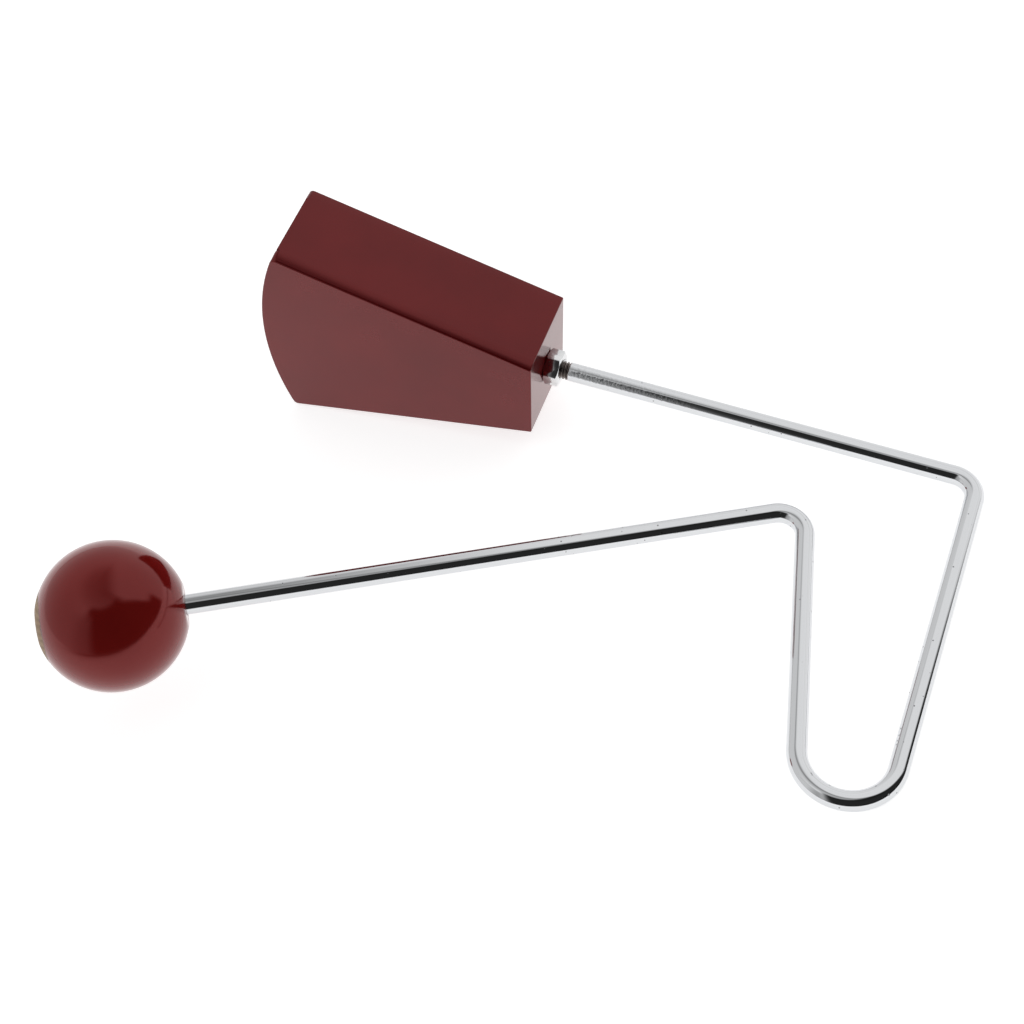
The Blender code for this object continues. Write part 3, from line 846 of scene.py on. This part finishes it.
# Ball: turned from hardwood with a flat at each pole, drilled for the rod and pressed on.
# It is lacquered red, except for the far pole, where it was held while the lacquer dried.
BALL_SEGMENTS = 96
BALL_RINGS = 64
BALL_ARRIS = 0.0004
BALL_HOLE = 0.0031
BALL_HOLE_DEPTH = 0.012
BARE_POLE = math.radians(32)
BALL_REDS = ((0.198, 0.0067, 0.0057), (0.222, 0.0104, 0.0085))
BALL_ROUGHNESS = (0.09, 0.12)
BALL_PEEL = 0.012
END_GRAIN_PALE = (0.36, 0.235, 0.13)
END_GRAIN_DARK = (0.21, 0.12, 0.06)
END_GRAIN_ROUGHNESS = 0.55
END_GRAIN_STRENGTH = 0.2
END_GRAIN_HEIGHT = 0.0002
GROWTH_RINGS = 150
GROWTH_RING_SHARE = 0.6
PITH_OFFSET = (0, 0.006, -0.019)
PORE_SPACING = 1300
PORE_RIM = (0.12, 0.3)
PORE_SHARE = 0.35
CREEP_REACH = 0.0007
CREEP_INNER = 0.0003
CREEP_OUTER = 0.0002
CREEP_DRIFT = 0.0005
CREEP_GRAIN = 420
CREEP_RED = (0.12, 0.006, 0.006)
CREEP_ROUGHNESS = 0.2

ball_lacquer = lacquer_finish(
    "ball_lacquer", BALL_REDS, BALL_ROUGHNESS, BALL_PEEL, Metallic=0.27, Coat_IOR=1.36
)


def end_grain_finish(name, bare_to):
    """Bare end grain: growth rings round a pith, open pores, and lacquer that crept in from the rim."""
    material, tree, shader, place = start_finish(name, IOR=WOOD_IOR)
    along = add_node(tree, "ShaderNodeMapping", Vector=place)
    along.vector_type = "TEXTURE"
    along.inputs["Location"].default_value = (*ball_centre, 0)
    along.inputs["Rotation"].default_value = (0, 0, math.atan2(ball_way.y, ball_way.x))
    pole = along.outputs["Vector"]
    pith = add_node(tree, "ShaderNodeMapping", Vector=pole, Location=PITH_OFFSET).outputs["Vector"]
    rings = add_node(
        tree, "ShaderNodeTexWave", Vector=pith, Scale=GROWTH_RINGS, Distortion=1.2, Detail=3, Detail_Scale=2
    )
    rings.wave_type = "RINGS"
    rings.rings_direction = "X"
    pores = add_node(tree, "ShaderNodeTexVoronoi", Vector=pole, Scale=PORE_SPACING, Randomness=1)
    open_pores = add_range(tree, pores.outputs["Distance"], *PORE_RIM, PORE_SHARE, 0)
    grain = calculate(tree, "MULTIPLY_ADD", rings.outputs["Fac"], GROWTH_RING_SHARE, open_pores)
    from_pole = add_node(tree, "ShaderNodeMapping", Vector=pole, Scale=(0, 1, 1)).outputs["Vector"]
    radius = add_node(tree, "ShaderNodeVectorMath", Vector=from_pole)
    radius.operation = "LENGTH"
    ragged = vary(tree, pole, CREEP_GRAIN, 3, -CREEP_DRIFT, CREEP_DRIFT)
    edge = calculate(tree, "ADD", radius.outputs["Value"], ragged)
    crept = add_range(tree, edge, bare_to - CREEP_INNER, bare_to + CREEP_OUTER, 0, 1)
    wood = add_ramp(tree, grain, (0.05, END_GRAIN_PALE), (0.95, END_GRAIN_DARK))
    tree.links.new(mix_colours(tree, crept, wood, CREEP_RED), shader.inputs["Base Color"])
    roughness = add_range(tree, crept, 0, 1, END_GRAIN_ROUGHNESS, CREEP_ROUGHNESS)
    tree.links.new(roughness, shader.inputs["Roughness"])
    height = add_range(tree, grain, 0, 1, 1, 0)
    tree.links.new(add_bump(tree, height, END_GRAIN_STRENGTH, END_GRAIN_HEIGHT), shader.inputs["Normal"])
    return material


ball_wood = end_grain_finish("ball_wood", BALL_RADIUS * math.sin(BARE_POLE) - CREEP_REACH)
bpy.ops.object.select_all(action="DESELECT")
bpy.ops.mesh.primitive_uv_sphere_add(segments=BALL_SEGMENTS, ring_count=BALL_RINGS, radius=BALL_RADIUS)
turned_ball = bpy.context.object
bpy.ops.object.mode_set(mode="EDIT")
for way in (1, -1):
    bpy.ops.mesh.select_all(action="SELECT")
    bpy.ops.mesh.bisect(
        plane_co=(0, 0, way * BALL_POLE), plane_no=(0, 0, way), clear_outer=True, use_fill=True
    )
bpy.ops.mesh.select_mode(type="FACE")
bpy.ops.mesh.select_all(action="DESELECT")
bpy.ops.object.mode_set(mode="OBJECT")
for face in turned_ball.data.polygons:
    face.select = face.center.z < -BALL_POLE + TINY
bpy.ops.object.mode_set(mode="EDIT")
bpy.ops.mesh.inset(thickness=BALL_FLAT - BALL_HOLE)
bpy.ops.mesh.extrude_region_move(TRANSFORM_OT_translate={"value": (0, 0, BALL_HOLE_DEPTH)})
ease_arrises(turned_ball, lambda first, second: abs(first.z) > BALL_POLE - TINY, BALL_ARRIS)
bpy.ops.object.mode_set(mode="OBJECT")
pole_way = Vector((*ball_way, 0))
pole_from = Vector((*ball_centre, 0))
along_rod = pole_way.to_track_quat("Z", "Y").to_matrix().to_4x4()
turned_ball.matrix_world = Matrix.Translation(pole_from) @ along_rod
bpy.ops.object.transform_apply(location=True, rotation=True, scale=True)
for face in turned_ball.data.polygons:
    face.material_index = int((face.center - pole_from).angle(pole_way) < BARE_POLE)
lay_down(turned_ball, "turned_ball", ball_lacquer, ball_wood)
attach(turned_ball, "ball")
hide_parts("ball")


# Table: the plain white floor of a photo tent, a sheet that glows a little under its soft light.
# Reflections see it dim towards the open front and towards the left, where less light reaches it.
FLOOR_SIZE = 6
FLOOR_ALBEDO = (0.62, 0.62, 0.62)
FLOOR_ROUGHNESS = 0.9
FLOOR_GLOW = 0.78
FRONT_DIMMING = 0.9
FRONT_DIM_ENDS = (-0.65, -0.18)
FRONT_DIM_SIDES = (-0.55, -0.15)
LEFT_LIGHT = 0.7
LEFT_DIM_ENDS = (-1.4, -0.3)
WHITE = (1, 1, 1, 1)


def smooth(tree, value, start, end, to_start, to_end):
    """Soft step of a value between two numbers."""
    return add_range(tree, value, start, end, to_start, to_end, "SMOOTHSTEP")


def multiply(tree, *values):
    """Product of two or more values."""
    product, *others = values
    for value in others:
        product = calculate(tree, "MULTIPLY", product, value)
    return product


bpy.ops.object.select_all(action="DESELECT")
bpy.ops.mesh.primitive_plane_add(size=FLOOR_SIZE)
floor = bpy.context.object
floor.name = "floor"
floor_white = bpy.data.materials.new("floor_white")
floor_white.use_nodes = True
tree = floor_white.node_tree
place = add_node(tree, "ShaderNodeTexCoord").outputs["Object"]
across = add_node(tree, "ShaderNodeSeparateXYZ", Vector=place).outputs
to_front = multiply(
    tree,
    smooth(tree, across["Y"], *FRONT_DIM_ENDS, FRONT_DIMMING, 0),
    smooth(tree, across["X"], *FRONT_DIM_SIDES, 0, 1),
)
to_left = smooth(tree, across["X"], *LEFT_DIM_ENDS, LEFT_LIGHT, 1)
table = multiply(tree, calculate(tree, "SUBTRACT", 1, to_front), to_left)
seen = add_node(tree, "ShaderNodeLightPath").outputs["Is Camera Ray"]
lit = calculate(tree, "MAXIMUM", seen, table)
paint = tree.nodes["Principled BSDF"].inputs
tree.links.new(add_ramp(tree, lit, (0, (0, 0, 0)), (1, FLOOR_ALBEDO)), paint["Base Color"])
tree.links.new(multiply(tree, lit, FLOOR_GLOW), paint["Emission Strength"])
paint["Emission Color"].default_value = WHITE
paint["Roughness"].default_value = FLOOR_ROUGHNESS
paint["Specular IOR Level"].default_value = 0
floor.data.materials.append(floor_white)


# Roof sheet: the lit cloth over the table, which only light and reflections meet.
# It is brightest on the right and fades out to the left, and its front edge runs back on the far right.
ROOF_SIZE = 2
ROOF_PLACE = (0.8, 0.5, 0.6)
ROOF_SLANT = 0.56
ROOF_BORDER = (-0.08, 0.2)
ROOF_BORDER_LIGHT = 0.32
ROOF_LIGHT = 0.94
ROOF_FRONT = (-0.155, 0.035)
ROOF_LEFT = (-0.22, 0.0)
ROOF_RIGHT = (0.8, 1.7)
ROOF_BACK = (0.6, 1.4)
RUN_BACK_FROM = 0.3
RUN_BACK_SLOPE = 0.6


def hang_sheet(name, size, **placing):
    """Sheet of cloth that the camera doesn't see. Gives its node tree and its place, axis by axis."""
    bpy.ops.mesh.primitive_plane_add(size=size, **placing)
    bpy.ops.object.transform_apply(location=True, rotation=True, scale=True)
    sheet = bpy.context.object
    sheet.name = name
    sheet.visible_camera = False
    sheet.visible_shadow = False
    cloth = bpy.data.materials.new(name)
    cloth.use_nodes = True
    cloth.node_tree.nodes.clear()
    sheet.data.materials.append(cloth)
    place = add_node(cloth.node_tree, "ShaderNodeTexCoord").outputs["Object"]
    return cloth.node_tree, add_node(cloth.node_tree, "ShaderNodeSeparateXYZ", Vector=place).outputs


def light_sheet(tree, light, cover):
    """Lets the cloth glow, and thins it out to nothing where its cover ends."""
    clear = add_node(tree, "ShaderNodeBsdfTransparent")
    glow = add_node(tree, "ShaderNodeEmission", Strength=light)
    mixed = add_node(tree, "ShaderNodeMixShader", Fac=cover)
    tree.links.new(clear.outputs[0], mixed.inputs[1])
    tree.links.new(glow.outputs[0], mixed.inputs[2])
    add_node(tree, "ShaderNodeOutputMaterial", Surface=mixed.outputs[0])


tree, across = hang_sheet("lit_roof", ROOF_SIZE, location=ROOF_PLACE)
slanted = calculate(tree, "MULTIPLY_ADD", across["Y"], ROOF_SLANT, across["X"])
run_back = calculate(tree, "MAXIMUM", calculate(tree, "SUBTRACT", across["X"], RUN_BACK_FROM), 0)
past_front = calculate(tree, "MULTIPLY_ADD", run_back, -RUN_BACK_SLOPE, across["Y"])
front = smooth(tree, past_front, *ROOF_FRONT, 0, 1)
left = smooth(tree, slanted, *ROOF_LEFT, 0, 1)
right = smooth(tree, across["X"], *ROOF_RIGHT, 1, 0)
back = smooth(tree, across["Y"], *ROOF_BACK, 1, 0)
lit = multiply(tree, front, smooth(tree, slanted, *ROOF_BORDER, ROOF_BORDER_LIGHT, ROOF_LIGHT))
light_sheet(tree, lit, multiply(tree, front, left, right, back))


# Front sheet: a second cloth that hangs upright at the front on the left, and only reflections show it.
# It gets darker towards the opening on its right, and ends softly there and at its top.
FRONT_SIZE = 1.2
FRONT_PLACE = (-0.5, -0.72, 0.6)
FRONT_LIGHTS = (0.74, 0.42)
FRONT_LIGHT_ENDS = (-0.6, -0.12)
FRONT_RIGHT = (-0.2, 0.0)
FRONT_TOP = (0.6, 1.15)

tree, across = hang_sheet("front_sheet", FRONT_SIZE, location=FRONT_PLACE, rotation=(math.pi / 2, 0, 0))
lit = smooth(tree, across["X"], *FRONT_LIGHT_ENDS, *FRONT_LIGHTS)
right = smooth(tree, across["X"], *FRONT_RIGHT, 1, 0)
top = smooth(tree, across["Z"], *FRONT_TOP, 1, 0)
light_sheet(tree, lit, multiply(tree, right, top))


# Tent: white walls all round, with an opening to a dark room in front and on the right.
# The opening ends below the roof and narrows towards it. Its ends are angles, round from the front and up.
# The tent is dimmest overhead, where the roof sheet hangs.
OPENING_LEFT = (-30, 3)
OPENING_RIGHT = (121, 131)
OPENING_TOP = (58, 74)
NARROWS_BY = 26
NARROWS_OVER = (25, 62)
ROOM_LIGHT = 0.025
WALL_LIGHTS = (0.74, 0.95)
WALL_LIGHT_ENDS = (-0.75, 0.1)
DARKEST_WAY = (0.166, 0.198, 0.966)
DARKEST_SHARE = 0.42
DARKEST_ENDS = (0.65, 0.985)

tent = bpy.data.worlds.new("tent")
tent.use_nodes = True
bpy.context.scene.world = tent
tree = tent.node_tree
ray = add_node(tree, "ShaderNodeTexCoord").outputs["Generated"]
way = add_node(tree, "ShaderNodeSeparateXYZ", Vector=ray).outputs
forward = multiply(tree, way["Y"], -1)
azimuth = calculate(tree, "DEGREES", calculate(tree, "ARCTAN2", way["X"], forward))
elevation = calculate(tree, "DEGREES", calculate(tree, "ARCSINE", way["Z"]))
narrowing = calculate(tree, "ADD", azimuth, smooth(tree, elevation, *NARROWS_OVER, 0, NARROWS_BY))
opening = multiply(
    tree,
    smooth(tree, azimuth, *OPENING_LEFT, 0, 1),
    smooth(tree, narrowing, *OPENING_RIGHT, 1, 0),
    smooth(tree, elevation, *OPENING_TOP, 1, 0),
)
overhead = add_node(tree, "ShaderNodeVectorMath", Vector=ray)
overhead.operation = "DOT_PRODUCT"
overhead.inputs[1].default_value = DARKEST_WAY
light = multiply(
    tree,
    smooth(tree, way["X"], *WALL_LIGHT_ENDS, *WALL_LIGHTS),
    smooth(tree, overhead.outputs["Value"], *DARKEST_ENDS, 1, DARKEST_SHARE),
    smooth(tree, opening, 0, 1, 1, ROOM_LIGHT),
)
seen = add_node(tree, "ShaderNodeLightPath").outputs["Is Camera Ray"]
background = tree.nodes["Background"].inputs
tree.links.new(calculate(tree, "MAXIMUM", light, seen), background["Strength"])
background["Color"].default_value = WHITE


# Camera: stands in the opening, above the handle, and looks down on the instrument.
# Its place, turn and lens were fitted to the corners of the box, the bends of the rod and the ball.
CAMERA_PLACE = (0.18487, -0.30908, 0.48041)
CAMERA_TURN = (38.2982, 8.6441, 20.086)
CAMERA_LENS = 69.875
CAMERA_SENSOR = 36
CAMERA_NEAR = 0.01

bpy.ops.object.camera_add(location=CAMERA_PLACE, rotation=[math.radians(angle) for angle in CAMERA_TURN])
camera = bpy.context.object
camera.data.sensor_width = CAMERA_SENSOR
camera.data.lens = CAMERA_LENS
camera.data.clip_start = CAMERA_NEAR
bpy.context.scene.camera = camera
bpy.context.scene.view_settings.view_transform = "Standard"
